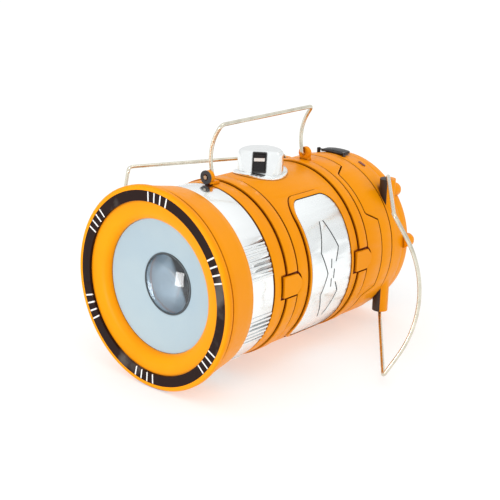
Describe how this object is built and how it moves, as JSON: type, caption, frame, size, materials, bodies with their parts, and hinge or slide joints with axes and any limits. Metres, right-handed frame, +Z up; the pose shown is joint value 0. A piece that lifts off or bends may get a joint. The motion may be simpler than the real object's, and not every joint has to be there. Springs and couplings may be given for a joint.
{
  "type": "camping lantern",
  "caption": "Pull-up camping lantern lying on its side: torch head, sliding case, wire carry handle, hanging bails, rocker switch, solar end.",
  "frame": {"origin": "centre of the bounding box's underside, on the ground the lantern lies on", "axes": "+Z up; +Y along the lantern from its torch face to its solar end, level; +X towards the flank whose bail stands further out"},
  "size_m": [0.2416, 0.2019, 0.1601],
  "materials": {
    "orange_plastic": "satin",
    "black_plastic": "gloss",
    "white_bars": "satin",
    "plated_plastic": "polished",
    "reflector": "satin",
    "clear_lens": "polished",
    "clear_plastic": "gloss",
    "steel_wire": "polished",
    "screw_steel": "satin",
    "sheet_steel": "satin",
    "heat_sink": "satin",
    "cell_can": "satin",
    "grey_plastic": "matte",
    "rubber": "matte",
    "circuit_board": "satin",
    "led": "gloss",
    "chips": "matte",
    "solar_cell": "gloss",
    "light_pipe": "gloss"
  },
  "bodies": {
    "body": {"body_shell": "orange_plastic", "handle_washer": "grey_plastic", "plate_near": "plated_plastic", "plate_far": "plated_plastic", "turret_housing": "plated_plastic", "rocker_frame": "black_plastic", "rear_bulkhead": "grey_plastic", "battery_holder": "grey_plastic", "battery_cells": "cell_can", "control_board": "circuit_board", "board_parts": "chips", "cover_hinge": "black_plastic", "charge_light": "light_pipe", "ear_inserts": "grey_plastic", "rear_cap": "orange_plastic", "port_board": "circuit_board", "usb_socket": "sheet_steel", "dc_socket": "chips", "solar_frame": "orange_plastic", "end_screws": "screw_steel", "solar_board": "circuit_board", "solar_cells": "solar_cell", "solar_window": "clear_lens"},
    "head": {"front_bezel": "orange_plastic", "trim_ring": "black_plastic", "trim_bars": "white_bars", "dish_reflector": "reflector", "lens_retainer": "black_plastic", "torch_lens": "clear_lens", "torch_reflector": "reflector", "torch_led_board": "circuit_board", "torch_led": "led", "heat_sink": "heat_sink", "head_carrier": "grey_plastic", "chrome_ring": "plated_plastic", "head_screws": "screw_steel", "mouth_seal": "rubber", "chimney": "clear_plastic", "lamp_board": "circuit_board", "lamp_leds": "led", "lamp_reflector": "reflector", "piston": "grey_plastic", "piston_ring": "rubber"},
    "carry_handle": {"carry_handle": "steel_wire"},
    "near_bail": {"near_bail": "steel_wire"},
    "far_bail": {"far_bail": "steel_wire"},
    "rocker": {"rocker": "black_plastic"},
    "port_cover": {"port_cover": "rubber"}
  },
  "joints": [
    {"name": "lamp_slide", "type": "slide", "parent": "body", "child": "head", "axis": [0, -0.999, 0.0437], "range_m": [0, 0.052]},
    {"name": "carry_handle", "type": "hinge", "parent": "body", "child": "carry_handle", "pos_m": [-0.00558, 0.00274, 0.12333], "axis": [0, 0.999, -0.0437], "range_deg": [-95, 97]},
    {"name": "near_bail", "type": "hinge", "parent": "body", "child": "near_bail", "pos_m": [0.04042, 0.08168, 0.05732], "axis": [0, 0.0437, 0.999], "range_deg": [-37.2, 142.8]},
    {"name": "far_bail", "type": "hinge", "parent": "body", "child": "far_bail", "pos_m": [-0.05158, 0.08168, 0.05732], "axis": [0, -0.0437, -0.999], "range_deg": [-28.2, 151.8]},
    {"name": "rocker", "type": "hinge", "parent": "body", "child": "rocker", "pos_m": [0.00001, -0.00306, 0.12669], "axis": [-0.809, -0.5872, 0.0257], "range_deg": [0, 18]},
    {"name": "port_cover", "type": "hinge", "parent": "body", "child": "port_cover", "pos_m": [-0.00758, 0.08212, 0.11546], "axis": [1, 0, 0], "range_deg": [0, 100]}
  ]
}
